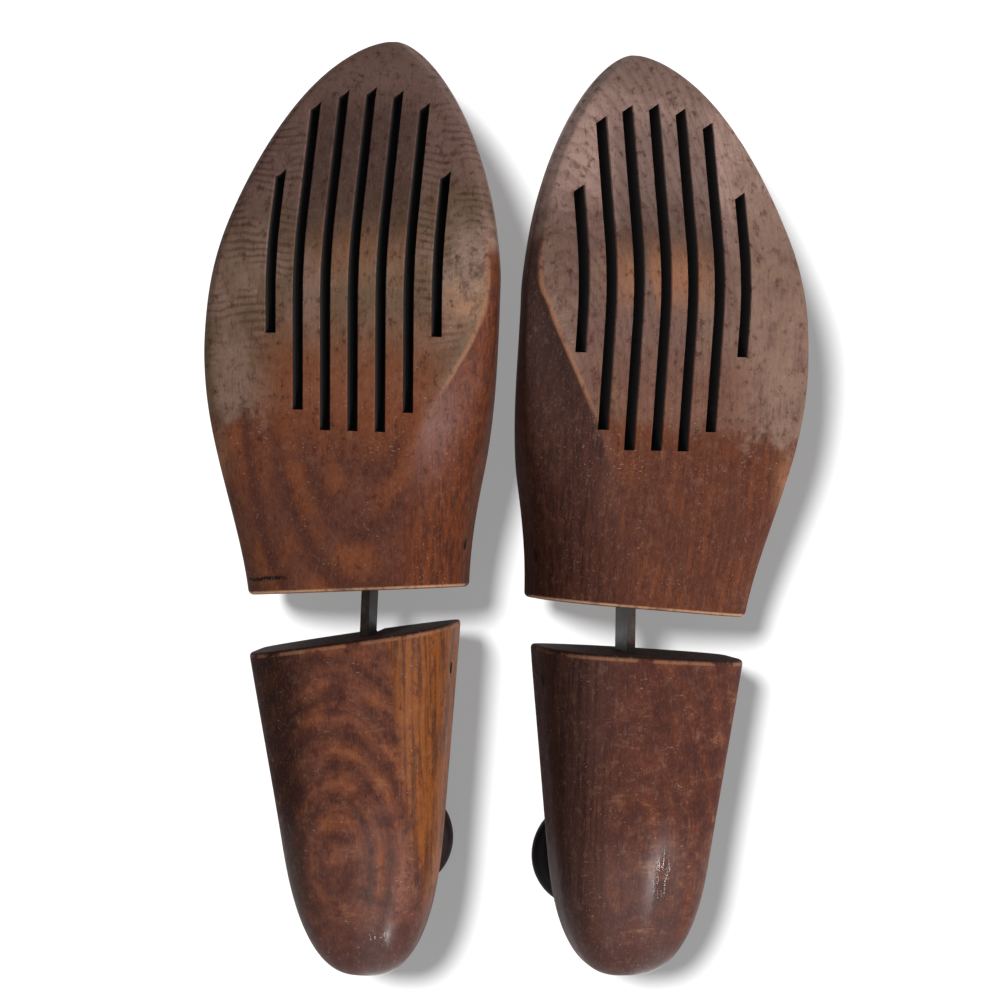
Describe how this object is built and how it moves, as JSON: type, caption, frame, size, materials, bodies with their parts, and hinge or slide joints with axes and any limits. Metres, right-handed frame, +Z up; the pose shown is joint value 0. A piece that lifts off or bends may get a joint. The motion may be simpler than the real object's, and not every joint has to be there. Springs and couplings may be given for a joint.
{
  "type": "hinged shoe tree pair",
  "caption": "Pair of hinged wooden shoe trees lying soles up, each with a slotted last-shaped forepart, a rounded heel block, a flat steel link and a mushroom knob.",
  "frame": {"origin": "centre of the bounding box of the pair in plan, on the surface the pair lies on", "axes": "+Y towards the toes, +Z up out of the soles, +X from the right-shoe tree to the left-shoe tree"},
  "size_m": [0.1872, 0.2944, 0.0744],
  "materials": {
    "stained_wood": "worn brown stain and old wax over open-pored hardwood",
    "ebonised_wood": "turned, blackened and waxed",
    "blackened_steel": "dark oxidised flat bar",
    "pin_steel": "dull tarnished pin ends"
  },
  "bodies": {
    "right_tree": {"right_forepart": "stained_wood", "right_forepart_pin": "pin_steel"},
    "right_link_bar": {"right_link": "blackened_steel"},
    "right_heel": {"right_heel_block": "stained_wood", "right_heel_pin": "pin_steel", "right_knob": "ebonised_wood"},
    "left_tree": {"left_forepart": "stained_wood", "left_forepart_pin": "pin_steel"},
    "left_link_bar": {"left_link": "blackened_steel"},
    "left_heel": {"left_heel_block": "stained_wood", "left_heel_pin": "pin_steel", "left_knob": "ebonised_wood"}
  },
  "joints": [
    {"name": "right_link_swing", "type": "hinge", "parent": "right_tree", "child": "right_link_bar", "pos_m": [-0.0426, -0.00972, 0.0317], "axis": [0.9862, -0.0362, 0.1616], "range_deg": [0, 20]},
    {"name": "right_heel_fold", "type": "hinge", "parent": "right_link_bar", "child": "right_heel", "pos_m": [-0.04415, -0.04868, 0.03247], "axis": [0.9862, -0.0362, 0.1616], "range_deg": [-5, 21]},
    {"name": "apart", "type": "slide", "parent": "right_tree", "child": "left_tree", "axis": [1, 0, 0], "range_m": [0, 0.06]},
    {"name": "left_link_swing", "type": "hinge", "parent": "left_tree", "child": "left_link_bar", "pos_m": [0.03788, -0.01482, 0.03209], "axis": [0.9658, -0.0135, -0.2588], "range_deg": [0, 20]},
    {"name": "left_heel_fold", "type": "hinge", "parent": "left_link_bar", "child": "left_heel", "pos_m": [0.0373, -0.05382, 0.03196], "axis": [0.9658, -0.0135, -0.2588], "range_deg": [-3, 23]}
  ]
}
